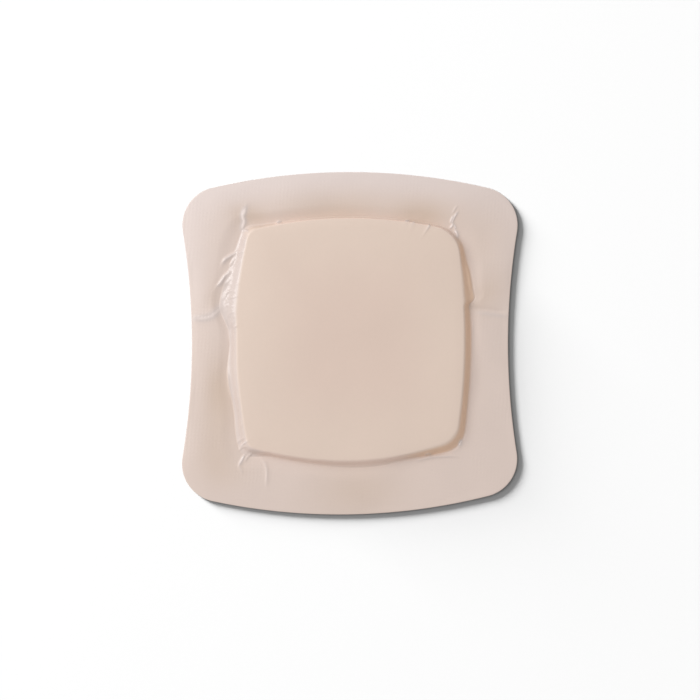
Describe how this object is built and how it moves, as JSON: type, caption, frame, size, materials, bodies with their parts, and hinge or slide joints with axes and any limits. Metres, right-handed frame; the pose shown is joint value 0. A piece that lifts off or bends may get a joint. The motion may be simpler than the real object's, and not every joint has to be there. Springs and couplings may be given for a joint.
{
  "type": "foam dressing",
  "caption": "Square bordered foam wound dressing with waisted sides: a raised absorbent pad under a thin backing sheet, on a perforated adhesive contact layer.",
  "frame": {"origin": "centre of the bounding box on the skin side", "axes": "+Z from the skin side up through the pad, +Y towards the end the raised face is set nearer to, +X to the right seen from above"},
  "size_m": [0.14, 0.143, 0.0052],
  "materials": {
    "backing_film": "beige foam-and-film sheet with a fine emboss and a satin, slightly waxy surface",
    "absorbent_foam": "pale open-cell foam, matt",
    "skin_adhesive": "thin soft adhesive sheet, slightly translucent and tacky"
  },
  "bodies": {
    "root": {"backing_sheet": "backing_film", "foam_pad": "absorbent_foam", "adhesive_layer": "skin_adhesive"}
  },
  "joints": []
}
